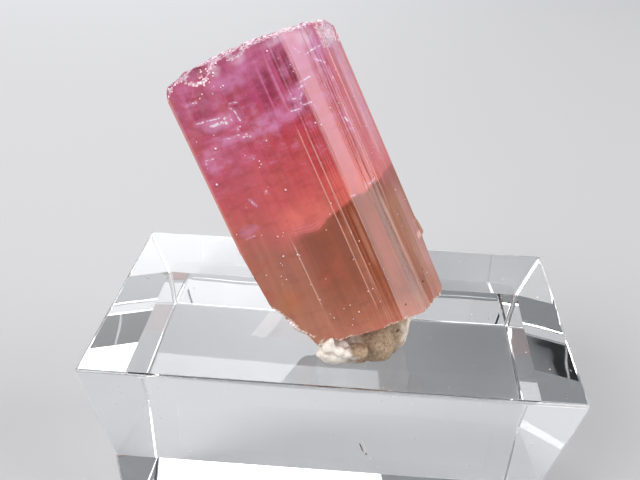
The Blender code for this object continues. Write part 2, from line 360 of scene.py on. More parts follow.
topShape = {
    "height": 19.9,
    "middle": -0.5,
    # how far it falls along x, towards the front and towards the back
    "fall": (0.62, 0.05, 0.3),
    "half": (5.6, 4.2),
    # ledges, pits and grain: height, waves per millimetre along x and y, seed
    "relief": [(0.16, 0.55, 0.8, 2.3), (0.1, 1.9, 1.9, 7.1), (0.07, 4.6, 4.2, 3.7), (0.03, 9.5, 9.0, 1.9)],
    # the worn corners: side, where the rounding starts, how fast it falls
    "corners": [(-1, 5.0, 1.6), (1, 5.0, 0.9)],
}
lowerShape = {
    "edge": [
        (-6.6, 5.6), (-5.2, 4.2), (-4.9, 3.95), (-4.7, 3.3), (-4.5, 2.55), (-4.2, 2.1), (-3.75, 1.6),
        (-3.65, 1.0), (-3.1, 1.0), (-2.6, 1.2), (-2.3, 0.95), (-1.5, 0.95), (0.4, 0.88), (2.1, 0.75),
        (2.7, 0.55), (3.5, 0.07), (4.3, -0.1), (4.5, 0.0), (5.1, -0.6), (6.6, -0.7),
    ],
    "front": -3.8,
    "rise": 0.22,
    "fade": 2.0,
    "relief": [(0.22, 0.7, 0.7, 1.0), (0.12, 1.7, 1.7, 3.0), (0.05, 4.2, 4.4, 8.0), (0.02, 9.0, 9.0, 4.0)],
}
# chips: centre, half sizes
bigChips = [
    ((-6.0, -1.6, 19.8), (0.62, 1.3, 0.62)), ((-2.45, -3.45, 19.7), (0.55, 0.4, 0.42)),
    ((-1.8, -3.6, 20.0), (0.5, 0.4, 0.42)), ((-0.9, -3.95, 19.95), (0.55, 0.42, 0.36)),
    ((0.5, -4.2, 19.95), (0.6, 0.42, 0.4)), ((1.6, -4.1, 19.9), (0.5, 0.4, 0.3)),
    ((3.1, -3.4, 19.8), (0.6, 0.5, 0.35)), ((4.7, -2.3, 19.5), (0.6, 0.7, 0.45)),
    ((6.6, -0.2, 19.6), (0.95, 2.6, 1.7)), ((5.75, -0.2, 18.3), (0.35, 1.1, 0.8)),
    ((-4.85, -2.65, 3.6), (0.35, 0.4, 0.4)), ((-4.5, -2.7, 3.15), (0.26, 0.3, 0.42)),
    ((-4.28, -2.75, 2.75), (0.22, 0.3, 0.3)), ((-4.05, -2.8, 2.35), (0.26, 0.3, 0.24)),
    ((-3.75, -2.9, 1.95), (0.22, 0.28, 0.22)), ((-3.35, -3.05, 1.35), (0.3, 0.25, 0.3)),
    ((5.05, -0.75, 18.6), (0.22, 0.4, 0.3)), ((5.25, -0.3, 18.2), (0.18, 0.4, 0.26)),
    ((-4.3, 2.2, 19.5), (1.3, 1.4, 0.9)), ((1.4, 4.8, 19.7), (1.6, 0.9, 1.1)),
    ((-5.3, -2.9, 4.9), (0.45, 0.5, 0.9)), ((4.9, 3.9, 1.6), (1.3, 0.9, 1.7)),
]
# smooth scoops with a crumbled lower lip: centre, half sizes
scoops = [((-3.36, -3.1, 19.44), (0.72, 0.5, 0.5)), ((-0.75, -3.9, 19.75), (0.5, 0.3, 0.3))]
smallChips = {
    "top": 150,
    "bottom": 90,
    "corners": 30,
    "lipCrumbs": 22,
    # runs of chips along the front edges: at the top or not, from x to x, how many
    "runs": [(True, -5.6, 0.6, 46), (True, 0.6, 5.9, 26), (False, -5.4, -2.6, 60), (False, -2.6, 5.6, 34)],
    "size": (0.05, 0.24),
    # a scuffed corner: centre, reach, how many
    "scuff": ((5.1, -0.7, 18.5), 0.75, 90),
    "seed": 21,
}
# flakes gone low down at the sides: side, top of the flake, edge left there and at the bottom
flakes = [(1, 4.05, 5.54, 5.3), (-1, 8.5, 5.5, 4.55)]
flakeBottom = -3.0
# a sliver that stands proud above the right-hand flake: from z to z, where it starts, how proud
sliver = {"low": 4.1, "high": 5.3, "inner": 5.2, "front": -0.4, "back": 1.8, "proud": 0.16}


def relief(x, y, terms):
    # terms: height, waves per millimetre along x and y, seed
    return sum(tall * noise.noise(Vector((x * manyX, y * manyY, seed))) for tall, manyX, manyY, seed in terms)


def topHeight(x, y):
    fallX, fallFront, fallBack = topShape["fall"]
    halfX, halfY = topShape["half"]
    fallY = fallFront if y < 0 else fallBack
    crown = topShape["height"] - fallX * ((x - topShape["middle"]) / halfX) ** 2 - fallY * (y / halfY) ** 2
    for side, start, drop in topShape["corners"]:
        crown -= drop * max(0.0, x * side - start) ** 2
    return crown + relief(x, y, topShape["relief"])


def lowerHeight(x, y):
    front = float(np.interp(x, *zip(*lowerShape["edge"])))
    behind = y - lowerShape["front"]
    fade = min(1.0, max(0.0, behind / lowerShape["fade"]))
    return front + lowerShape["rise"] * behind + relief(x, y, lowerShape["relief"]) * fade


def prismCorners():
    faces = crystalShape["faces"]
    corners = [Vector(crystalShape["leftEdge"])]
    for turn, width, _, _ in faces:
        angle = math.radians(turn)
        corners.append(corners[-1] + width * Vector((math.cos(angle), math.sin(angle))))
    gap = corners[0] - corners[-1]
    behind = sum(face[0] >= 90 for face in faces)
    first = len(faces) - behind
    for step in range(1, behind + 1):
        corners[first + step] += gap * step / behind
    return corners


def skinSpot(x):
    # how far forward the front faces stand at this x
    return float(np.interp(x, *zip(*prismCorners()[:9])))


def faceMarks(rng, span, face, bold, keys):
    # points across one face: place along it, lift, key, where a ridge runs, crest
    _, _, spacing, tall = face
    step = crystalShape["stepWidth"]
    marks = [(0.0, 0.0, 0, None, 0.0)]
    spot = step * 2
    while spot < span - step * 3:
        key = next(keys)
        ridge = next((ridge for ridge in bold if abs(ridge[0] - spot) < ridge[1] / 2 + step), None)
        if ridge:
            middle, wide, high, run = ridge
            for share, lift in ((-0.5, 0.0), (0.0, high), (0.2, high), (0.5, 0.0)):
                marks.append((middle + share * wide, lift, key, run, float(lift > 0)))
            spot = middle + wide / 2 + step
            bold.remove(ridge)
            continue
        stop = min(spot + spacing * rng.uniform(0.5, 1.6), span - step)
        if bold:
            stop = min(stop, max(spot + step * 2, bold[0][0] - bold[0][1] / 2 - step))
        first = rng.uniform(0.0, 1.0)
        second = first + rng.uniform(-0.45, 0.45)
        marks.append((spot, first * tall, key, None, 0.0))
        marks.append((max(stop - step, spot + step), second * tall, key, None, 0.0))
        spot = stop
    return marks


def sectionPoints():
    # each point: x, y, outward x, outward y, lift, key, low, high, crest
    rng = random.Random(crystalShape["seed"])
    corners = prismCorners()
    keys = itertools.count(1)
    points = []
    for index, face in enumerate(crystalShape["faces"]):
        start, end = corners[index], corners[index + 1]
        along = (end - start).normalized()
        bold = [ridge[1:] for ridge in crystalShape["boldRidges"] if ridge[0] == index]
        bold = [(max(share * face[1], wide * 0.6), wide, high, run) for share, wide, high, *run in bold]
        for reach, lift, key, run, crest in faceMarks(rng, (end - start).length, face, bold, keys):
            at = start + along * reach
            low, high = run if run else (0.0, 0.0)
            points.append((at.x, at.y, along.y, -along.x, lift, key, low, high, crest))
    return points


def ridgeStrength(point, z):
    lift, key, low, high = point[4:8]
    if high > low:
        fade = crystalShape["ridgeFade"]
        return 0.12 + 0.88 * min(1.0, max(0.0, (z - low) / fade)) * min(1.0, max(0.0, (high - z) / fade))
    if not lift:
        return 0.0
    return min(1.0, max(0.0, 0.6 + 1.5 * noise.noise(Vector((key * 3.7, z * 0.10, 5.0)))))


def closeEnd(height):
    # rings drawn in towards the middle, and the last one merged to a point
    rings, crowd = crystalShape["capRings"], crystalShape["capCrowd"]
    for ring in range(rings - 1):
        share = (1 - ((ring + 1) / rings) ** crowd) / (1 - (ring / rings) ** crowd)
        extrude()
        bpy.ops.transform.resize(value=(share, share, 1), center_override=(0, 0, height * mm))
    extrude()
    bpy.ops.mesh.merge(type="CENTER")


def strike(spots, fresh, centre, half, seed, amount=1.0, bump=0.22):
    # everything inside a bumpy egg is pushed out to its skin, which leaves a scoop
    centre, half = np.array(centre), np.array(half)
    reach = (spots - centre) / half
    distance = np.linalg.norm(reach, axis=1)
    for index in np.flatnonzero((distance < 1.3) & (distance > 1e-6)):
        way = Vector(reach[index] / distance[index])
        skin = 1 + bump * noise.noise(way * 1.8 + Vector((seed, 0, 0)))
        if distance[index] < skin:
            spots[index] = centre + half * np.array(way) * skin
            fresh[index] = max(fresh[index], amount)


def chipRim(spots, fresh, point, upper, number, rng):
    small, large = smallChips["size"]
    x, y, outX, outY = point[:4]
    size = small + (large - small) * rng.random() ** 2
    z = topHeight(x, y) + size * 0.35 if upper else lowerHeight(x, y) - size * 0.35
    half = (size * rng.uniform(0.8, 1.6), size * rng.uniform(0.8, 1.4), size * rng.uniform(0.7, 1.5))
    strike(spots, fresh, (x + outX * size * 0.5, y + outY * size * 0.5, z), half, 50.0 + number)


def scoopOut(spots, fresh, centre, half, rng):
    strike(spots, fresh, centre, half, 0.0, 0.12, 0.05)
    crumbs = smallChips["lipCrumbs"]
    for step in range(crumbs):
        angle = math.radians(180 + 160 * (step + rng.random()) / crumbs)
        x, z = centre[0] + half[0] * math.cos(angle), centre[2] + half[2] * math.sin(angle)
        size = rng.uniform(0.05, 0.11)
        strike(spots, fresh, (x, skinSpot(x) - size * 0.3, z), (size, size, size), step * 1.7)


def scuffCorner(spots, fresh, points, rng):
    middle, reach, count = smallChips["scuff"]
    near = [point for point in points if abs(point[0] - middle[0]) < reach]
    near = [point for point in near if abs(point[1] - middle[1]) < reach * 2]
    for number in range(count):
        x, y, outX, outY = rng.choice(near)[:4]
        size = rng.uniform(0.05, 0.14)
        centre = (x + outX * size * 0.7, y + outY * size * 0.7, middle[2] + reach * rng.uniform(-1, 1))
        strike(spots, fresh, centre, (size, size, size * rng.uniform(0.8, 2.0)), 700.0 + number)


def chipAway(spots, fresh, points):
    rng = random.Random(smallChips["seed"])
    small, large = smallChips["size"]
    for number, (centre, half) in enumerate(bigChips):
        strike(spots, fresh, centre, half, number * 3.0)
    for centre, half in scoops:
        scoopOut(spots, fresh, centre, half, rng)
    scuffCorner(spots, fresh, points, rng)
    for number in range(smallChips["top"] + smallChips["bottom"]):
        chipRim(spots, fresh, rng.choice(points), number < smallChips["top"], number, rng)
    for number, (upper, low, high, count) in enumerate(smallChips["runs"]):
        front = [point for point in points if low < point[0] < high and point[1] < 0.5]
        for chip in range(count):
            chipRim(spots, fresh, rng.choice(front), upper, 400 + number * 100 + chip, rng)
    corners = prismCorners()[:-1]
    for number in range(smallChips["corners"]):
        corner = rng.choice(corners)
        out = corner.normalized()
        size = small + (large - small) * 0.5 * rng.random()
        centre = (corner.x + out.x * size * 0.8, corner.y + out.y * size * 0.8, rng.uniform(1.5, 19.0))
        strike(spots, fresh, centre, (size, size, size * rng.uniform(1.0, 3.5)), 300.0 + number, 0.7)


def flakeSides(spots, crest):
    for side, top, above, below in flakes:
        share = np.clip((spots[:, 2] - flakeBottom) / (top - flakeBottom), 0, 1)
        limit = below + (above - below) * share
        gone = (spots[:, 2] < top) & (spots[:, 0] * side > limit)
        spots[gone, 0] = side * limit[gone]
    level = (spots[:, 2] - sliver["low"]) / (sliver["high"] - sliver["low"])
    proud = (level > 0) & (level < 1) & (spots[:, 0] > sliver["inner"])
    proud &= (spots[:, 1] > sliver["front"]) & (spots[:, 1] < sliver["back"])
    spots[proud, 0] += sliver["proud"] * (1 - level[proud]) ** 0.5
    crest[proud] = np.maximum(crest[proud], 0.6 * np.abs(level[proud] * 2 - 1) ** 3)


def carveCrystal(crystal, points):
    # moves the plain rings onto the striated faces, the worn top and the broken end
    mesh = crystal.data
    count = len(mesh.vertices)
    spots = np.empty(count * 3)
    mesh.vertices.foreach_get("co", spots)
    spots = spots.reshape(-1, 3) / mm
    around = np.empty(count, np.int32)
    mesh.attributes["around"].data.foreach_get("value", around)
    length = crystalShape["length"]
    fresh, crest, broken = np.zeros(count), np.zeros(count), np.zeros(count)
    for index in range(count):
        point = points[around[index]]
        x, y, outX, outY, rise = point[:5]
        level = spots[index, 2] / length
        inner = math.hypot(*spots[index, :2]) / math.hypot(x, y)
        if inner < 0.999:
            broken[index] = 1.0
            z = topHeight(x * inner, y * inner) if level > 0.5 else lowerHeight(x * inner, y * inner)
        else:
            low, high = lowerHeight(x, y), topHeight(x, y)
            z = low + (high - low) * level
        strength = ridgeStrength(point, z)
        wave = noise.noise(Vector((x * 0.35, y * 0.35, z * 0.22))) * crystalShape["faceWave"]
        lift = rise * strength + wave
        shrink = inner * (1 - crystalShape["taper"] * (1 - z / length))
        spots[index] = ((x + outX * lift) * shrink, (y + outY * lift) * shrink, z)
        crest[index] = point[8] * strength
    chipAway(spots, fresh, points)
    flakeSides(spots, crest)
    mesh.vertices.foreach_set("co", (spots * mm).ravel())
    for name, values in (("fresh", fresh), ("crest", crest), ("broken", broken)):
        mesh.attributes.new(name, "FLOAT", "POINT").data.foreach_set("value", values)
    mesh.attributes.remove(mesh.attributes["around"])
    mesh.update()


def standUp(piece):
    # from the crystal's upright frame to its lean in the putty
    piece.location = Vector(crystalShape["place"]) * mm
    piece.rotation_euler = turned(crystalShape["lean"])


def makeCrystal(material):
    points = sectionPoints()
    bpy.ops.object.select_all(action="DESELECT")
    bpy.ops.mesh.primitive_circle_add(vertices=len(points), radius=5 * mm)
    crystal = bpy.context.object
    crystal.name = crystal.data.name = "tourmaline_prism"
    around = crystal.data.attributes.new("around", "INT", "POINT")
    for index, point in enumerate(points):
        crystal.data.vertices[index].co = (point[0] * mm, point[1] * mm, 0)
        around.data[index].value = index
    openEdit(crystal, "EDGE", "SELECT")
    length, reached = crystalShape["length"], 0.0
    for rings, share in crystalShape["wallRings"]:
        for _ in range(rings):
            extrude(length * (share - reached) / rings)
        reached = share
    closeEnd(length)
    selectEdges(crystal, lambda a, b: max(a.z, b.z) < 0.001 * mm)
    closeEnd(0.0)
    bpy.ops.mesh.select_all(action="SELECT")
    bpy.ops.mesh.normals_make_consistent(inside=False)
    bpy.ops.object.mode_set(mode="OBJECT")
    carveCrystal(crystal, points)
    crystal.data.shade_smooth()
    pickOnly(crystal)
    bpy.ops.object.shade_smooth_by_angle(angle=math.radians(crystalShape["smoothAngle"]))
    standUp(crystal)
    return settle(crystal, "tourmaline_crystal", material)


tourmalineLook = {
    # colour up the prism: height in millimetres, screen colour
    "soft": [
        (0.0, (210, 140, 108)), (4.5, (188, 118, 88)), (7.6, (188, 110, 90)), (9.8, (214, 100, 96)),
        (11.5, (212, 82, 92)), (14.0, (207, 76, 112)), (17.0, (200, 74, 120)), (20.0, (210, 104, 146)),
    ],
    "crisp": [
        (0.0, (204, 128, 98)), (4.5, (160, 82, 46)), (8.95, (150, 69, 37)), (9.12, (232, 112, 100)),
        (11.5, (210, 77, 80)), (14.0, (204, 72, 90)), (17.0, (196, 80, 122)), (20.0, (214, 118, 160)),
    ],
    # the colour boundary sags in the middle: x, height
    "boundary": [
        (-5.4, 9.4), (-4.0, 9.3), (-3.3, 8.4), (-2.3, 8.3), (-1.4, 8.2), (-0.4, 8.1), (0.3, 8.6),
        (1.75, 8.95), (2.4, 9.05), (3.7, 9.0), (5.1, 9.3),
    ],
    # where the colours above put it
    "boundaryRest": 9.05,
    # painted sheen: the pale colour of the smooth face from x 2.2 to 3.3, above the colour boundary
    "bandSheen": (242, 176, 188),
    "rose": (216, 108, 128),
    "deepRose": (228, 100, 114),
    # painted light: this colour and the next lighten the right-hand faces, which face away from the key light
    "litBlush": (255, 164, 170),
    "litPetal": (255, 196, 212),
    # painted sheen: that smooth face below the colour boundary
    "mauveSheen": (192, 106, 92),
    "umber": (134, 66, 44),
    # also used as painted light on the right-hand faces, from x 4.06 rightwards
    "tan": (222, 164, 136),
    "salmon": (226, 144, 124),
    "lilac": (228, 152, 202),
    "maroon": (140, 44, 70),
    "orange": (242, 120, 108),
    "rust": (196, 84, 62),
    "amber": (196, 116, 56),
    "dusk": (196, 150, 160),
    "frost": (252, 230, 246),
    "cream": (252, 236, 220),
    "glint": (255, 244, 255),
    # painted highlight colour for the ridge crests, which are partly also paler from wear, and for the
    # prism's side edges
    "ridge": (252, 200, 184),
    # stripes down the faces: shade, strength, from x to x, from z to z. Some are painted light: the pale
    # sheen stripes paint a sheen on the smooth faces, and the lit stripes and the tan stripes from x 4.06
    # rightwards paint light on the right-hand faces, which face away from the key light
    "stripes": [
        ("litBlush", 0.8, 4.02, 7.4, 6.5, 24.5), ("bandSheen", 0.5, 2.18, 3.14, 7.4, 24.5),
        ("rose", 0.3, 3.12, 3.5, 8.9, 19.0), ("maroon", 0.2, 4.66, 4.8, 9.5, 18.6),
        ("bandSheen", 0.25, 3.66, 4.02, 8.9, 19.0), ("deepRose", 0.4, 4.34, 4.66, 8.9, 17.5),
        ("litPetal", 0.85, 4.85, 5.52, 9.0, 24.5), ("litPetal", 0.25, 3.8, 4.4, 9.0, 15.5),
        # painted shade: the maroon stripe from x 1.98 to 2.22 and the umber stripes from x 1.92 to 2.24
        # darken the prism's corner there
        ("maroon", 0.42, 1.98, 2.22, 9.1, 18.8), ("lilac", 0.3, 2.2, 3.2, 16.4, 19.8),
        ("mauveSheen", 0.5, 2.26, 3.3, -3.0, 9.6), ("umber", 0.45, 1.92, 2.24, 1.4, 8.9),
        ("umber", 0.45, 2.02, 2.22, 1.4, 8.9), ("umber", 0.78, 3.24, 3.74, 1.2, 8.9),
        ("tan", 0.5, 3.72, 4.12, 1.5, 9.0), ("tan", 0.65, 4.06, 6.4, 0.8, 9.2),
        ("litPetal", 0.3, 4.9, 5.5, 1.0, 9.1), ("umber", 0.2, -3.4, -1.6, 3.0, 8.4),
        ("tan", 0.2, 0.8, 1.3, 2.5, 8.9), ("maroon", 0.75, 1.06, 1.56, 16.3, 19.2),
        ("maroon", 0.85, 1.62, 2.06, 16.3, 19.0), ("maroon", 0.6, 0.12, 0.62, 15.8, 18.6),
        ("maroon", 0.45, -0.45, 0.02, 15.0, 18.6), ("maroon", 0.6, 0.95, 1.98, 14.6, 16.2),
        ("lilac", 0.55, 0.66, 0.84, 15.0, 19.0), ("lilac", 0.4, 0.04, 0.12, 15.0, 18.8),
        ("maroon", 0.3, -2.3, -1.7, 15.8, 19.0), ("maroon", 0.3, -4.6, -3.4, 16.3, 18.9),
        ("umber", 0.35, 0.2, 0.62, 2.4, 8.9), ("umber", 0.22, -1.9, -0.3, 4.6, 9.3),
        ("umber", 0.25, -1.0, -0.7, 1.6, 7.5), ("tan", 0.3, 1.62, 1.98, 4.2, 8.9),
        ("tan", 0.35, 4.08, 4.34, 1.5, 9.0), ("umber", 0.22, 4.38, 4.66, 1.5, 8.0),
    ],
    # tinted zones: shade, strength, centre, half size
    "zones": [
        ("orange", 0.8, (-1.0, -3.6, 9.1), (2.2, 2.4, 1.4)),
        ("orange", 0.35, (1.6, -3.8, 10.2), (1.2, 2.0, 1.3)),
        ("rust", 0.35, (-1.6, -3.4, 11.9), (0.9, 2.0, 1.2)),
        ("rust", 0.35, (-3.0, -3.0, 12.3), (0.8, 2.0, 1.1)),
        ("rust", 0.12, (1.5, -3.8, 13.0), (0.6, 2.0, 1.8)),
        ("salmon", 0.4, (4.4, -1.6, 1.0), (2.6, 3.5, 2.6)),
        ("umber", 0.45, (3.4, -2.4, 2.4), (2.4, 3.0, 2.6)),
        ("salmon", 0.45, (0.0, -3.8, 0.6), (5.0, 3.0, 1.6)),
        ("lilac", 0.78, (-0.4, -3.6, 15.2), (2.2, 2.0, 0.9)),
        ("maroon", 0.25, (-3.0, -3.0, 17.9), (0.9, 2.0, 0.7)),
        ("lilac", 0.6, (-4.7, -2.4, 14.4), (1.4, 2.0, 0.7)),
        ("lilac", 0.65, (1.5, -3.8, 15.9), (1.1, 1.6, 1.2)),
        ("lilac", 0.7, (3.6, -2.5, 17.9), (1.7, 2.0, 1.0)),
        ("lilac", 0.55, (-3.4, -2.9, 16.4), (2.2, 2.0, 0.6)),
        ("lilac", 0.45, (-2.9, -3.0, 15.2), (1.6, 2.0, 0.4)),
        ("lilac", 0.5, (-1.5, -3.4, 18.4), (2.6, 2.0, 0.9)),
        ("lilac", 0.45, (5.2, -0.5, 18.2), (1.2, 2.4, 1.6)),
        ("amber", 0.55, (-3.9, -2.7, 4.4), (1.0, 1.6, 1.3)),
        ("frost", 0.55, (-2.15, -3.3, 19.2), (0.45, 1.5, 0.5)),
        ("frost", 0.5, (-0.75, -3.6, 19.3), (0.7, 1.5, 0.45)),
        ("frost", 0.5, (1.6, -3.8, 19.4), (1.1, 1.5, 0.35)),
        ("frost", 0.5, (3.5, -2.8, 18.9), (1.0, 2.0, 0.7)),
        ("glint", 0.95, (5.05, -0.9, 18.4), (0.8, 2.0, 0.95)),
        ("glint", 0.9, (-3.35, -2.9, 18.93), (0.5, 1.0, 0.15)),
        ("lilac", 0.4, (-4.4, -2.5, 9.65), (0.9, 1.5, 0.5)),
    ],
    # healed cracks: from x, z to x, z, width
    "cracks": [
        (-4.51, 16.79, -4.08, 16.75, 0.075), (-3.95, 16.74, -3.11, 16.62, 0.045),
        (-3.77, 16.36, -3.08, 16.28, 0.15), (-2.86, 16.51, -2.87, 16.15, 0.12),
        (-2.5, 16.51, -2.52, 16.21, 0.09), (-2.68, 16.5, -2.7, 16.2, 0.04),
        (-2.27, 16.85, -2.1, 16.59, 0.06), (-2.1, 16.59, -2.05, 15.98, 0.055),
        (-2.21, 17.14, -1.82, 17.05, 0.04), (-2.28, 14.99, -1.9, 14.92, 0.11),
        (-2.16, 15.16, -2.01, 15.13, 0.05), (-4.71, 18.03, -3.96, 18.03, 0.035),
        (-3.43, 15.33, -2.49, 15.22, 0.04), (1.9, 16.56, 2.75, 16.66, 0.06),
        (1.85, 16.32, 2.3, 16.42, 0.065), (0.9, 15.32, 1.55, 15.22, 0.065), (1.55, 15.2, 1.62, 15.55, 0.04),
        (1.68, 15.35, 2.25, 15.3, 0.045), (2.1, 15.38, 2.35, 14.95, 0.045), (1.1, 15.98, 1.55, 15.8, 0.06),
        (1.7, 15.75, 1.95, 16.0, 0.035), (1.3, 16.2, 1.05, 16.02, 0.04),
        (-3.54, 11.41, -3.32, 10.89, 0.042), (-5.01, 14.4, -4.95, 14.56, 0.055),
        (-4.95, 14.56, -4.46, 14.53, 0.04), (3.1, 17.95, 4.2, 18.05, 0.05), (3.55, 17.45, 4.0, 17.0, 0.04),
        (2.55, 18.6, 2.75, 18.2, 0.045), (3.76, 13.5, 3.88, 13.2, 0.085), (3.84, 12.82, 3.9, 12.62, 0.07),
        (-4.78, 9.22, -4.18, 9.2, 0.026), (2.1, 9.2, 2.4, 9.15, 0.035), (3.3, 9.25, 4.0, 9.3, 0.028),
    ],
    "transmission": 0.4,
    "ior": 1.63,
    "absorption": (0.93, 0.66, 0.6),
    "density": 60.0,
}


def crystalHeight(spot, x, z):
    # height up the prism, bent so that the colour boundary sags
    boundary, length = tourmalineLook["boundary"], crystalShape["length"]
    low, high = boundary[0][0], boundary[-1][0]
    stops = [((at - low) / (high - low), (*[level / length] * 3, 1)) for at, level in boundary]
    level = colourRamp(calc("DIVIDE", minus(x, low), high - low), stops, "B_SPLINE")
    sag = timesPlus(splitColour(level)[0], -length, tourmalineLook["boundaryRest"])
    height = timesPlus(sag, spread(apart(z, 9.0), 4.0, 0.5), z)
    return calc("ADD", height, timesPlus(clouds(spot, 0.9, 3.0), 0.4, -0.2))


def tourmalineColour(spot):
    look, length = tourmalineLook, crystalShape["length"]
    x, _, z = splitSpot(spot)
    height = crystalHeight(spot, x, z)
    level = calc("DIVIDE", height, length)
    soft, crisp = ([(at / length, srgb(*shade)) for at, shade in look[name]] for name in ("soft", "crisp"))
    soft, crisp = colourRamp(level, soft), colourRamp(level, crisp)
    colour = blendColour(spread(x, -2.6, -1.0), soft, crisp)
    # broad and fine streaks down the prism, stronger on the right
    broad = useGroup(streaks, spot, 1.1, 0.05)
    fine = useGroup(streaks, spot, 5.0, 0.08, 9.0)
    depth = spread(x, -1.5, 2.8, 0.07, 0.34)
    shade = timesPlus(broad, 0.16, 0.86)
    shade = calc("ADD", shade, times(minus(fine, 0.4), depth))
    dark = place(shade, "ShaderNodeCombineColor", [(0, shade), (1, shade), (2, shade)]).outputs[0]
    colour = blendColour(1.0, colour, dark, "MULTIPLY")
    veil = clouds(spot, 1.1, 5.0)
    torn = spread(veil, 0.38, 0.60, 0.35, 1.0)
    mottle = clouds(spot, 0.75, 4.0)
    rusty = times(spread(mottle, 0.50, 0.68, 0.0, 0.35), spread(x, 2.1, 1.7))
    colour = tint(rusty, colour, look["rust"])
    for name, strength, *sides in look["stripes"]:
        mask = useGroup(patch, x, z, *sides)
        colour = tint(times(mask, strength), colour, look[name])
    for name, strength, centre, half in look["zones"]:
        mask = times(useGroup(zone, spot, centre, half), torn)
        colour = tint(times(mask, strength), colour, look[name])
    milky = times(spread(veil, 0.50, 0.70, 0.0, 0.32), spread(z, 11.0, 15.5))
    colour = tint(milky, colour, look["lilac"])
    # short wavy flecks across the pink part, and darker mottling all over
    flat = place(spot, "ShaderNodeMapping", [("Vector", spot), ("Scale", (0.8, 0.8, 1.9))]).outputs[0]
    fleck = clouds(flat, 1.0, 6.0, 0.6)
    pale = times(spread(fleck, 0.53, 0.70, 0.0, 0.44), spread(z, 10.0, 14.5))
    colour = tint(pale, colour, look["lilac"])
    dim = times(spread(fleck, 0.52, 0.34, 0.0, 0.45), spread(x, 2.2, 1.6, 0.3, 1.0))
    dim = times(dim, spread(z, 8.0, 11.0, 0.5, 1.0))
    colour = tint(dim, colour, look["dusk"], "MULTIPLY")
    # growth lines just above the colour boundary
    wave = calc("SINE", times(height, 30.0))
    close = spread(apart(height, 9.35), 0.45, 0.1)
    growth = times(spread(wave, 0.0, 1.0, 0.0, 0.22), close)
    growth = times(growth, spread(apart(x, -0.9), 1.6, 0.8))
    return tint(growth, colour, look["lilac"])


def crackMasks(spot):
    # the cracks themselves, and a wide faint glow round them
    bend = clouds(spot, 2.6, 3.0).node.outputs["Color"]
    bendX, bendZ, _ = splitColour(bend)
    x, y, z = splitSpot(spot)
    bentX = calc("ADD", x, timesPlus(bendX, 0.2, -0.1))
    bentZ = calc("ADD", z, timesPlus(bendZ, 0.2, -0.1))
    near = 99.0
    for crack in tourmalineLook["cracks"]:
        near = calc("MINIMUM", near, useGroup(vein, bentX, bentZ, *crack))
    breaks = clouds(spot, 5.0, 4.0)
    front = spread(y, -0.6, -1.2)
    cracks = times(spread(near, 1.0, 0.35), spread(breaks, 0.43, 0.56, 0.12, 1.0))
    return times(cracks, front), times(spread(near, 4.0, 1.4), front)


def makeTourmaline():
    look = tourmalineLook
    material, tree, shader = newMaterial("bicolour_tourmaline")
    lean = [("Location", Vector(crystalShape["place"]) * mm), ("Rotation", turned(crystalShape["lean"]))]
    spot = objectSpot(tree, lean + [("Scale", (mm, mm, mm))], vector_type="TEXTURE")
    x, _, z = splitSpot(spot)
    colour = tourmalineColour(spot)
    marks = [place(tree, "ShaderNodeAttribute", attribute_name=name) for name in ("fresh", "crest", "broken")]
    fresh, crest, broken = (mark.outputs["Fac"] for mark in marks)
    grain = clouds(spot, 7.0, 4.0)
    cracks, glow = crackMasks(spot)
    colour = tint(times(glow, 0.35), colour, look["lilac"])
    # painted highlight: a pale line along the prism's left and right edges, and paler ridge crests, partly
    # worn and partly painted highlight
    rim = calc("MAXIMUM", spread(x, -5.30, -5.52), spread(x, 5.50, 5.75))
    wornCrestsAndEdgeHighlight = calc("MAXIMUM", times(crest, 0.6), times(rim, 0.5))
    colour = tint(wornCrestsAndEdgeHighlight, colour, look["ridge"])
    # frosted where it is chipped, and in patches where it is broken
    worn = times(broken, spread(grain, 0.54, 0.68, 0.0, 0.6))
    chipped = times(fresh, spread(grain, 0.36, 0.60, 0.20, 1.0))
    frost = calc("MAXIMUM", worn, chipped)
    pale = tint(spread(z, 6.0, 11.0), srgb(*look["cream"]), look["frost"])
    colour = blendColour(frost, colour, pale)
    hair = useGroup(streaks, spot, 7.0, 0.08, 3.0)
    bumps = timesPlus(times(grain, frost), 8.0, hair)
    feed(shader, [
        # painted glints: the healed cracks are lightened to near white
        ("Base Color", tint(cracks, colour, look["glint"])),
        ("Roughness", timesPlus(frost, 0.35, 0.12)),
        ("Normal", addBump(bumps, 0.4, 0.006)),
        ("Transmission Weight", look["transmission"]),
        ("IOR", look["ior"]),
    ])
    addAbsorption(tree, look)
    return material
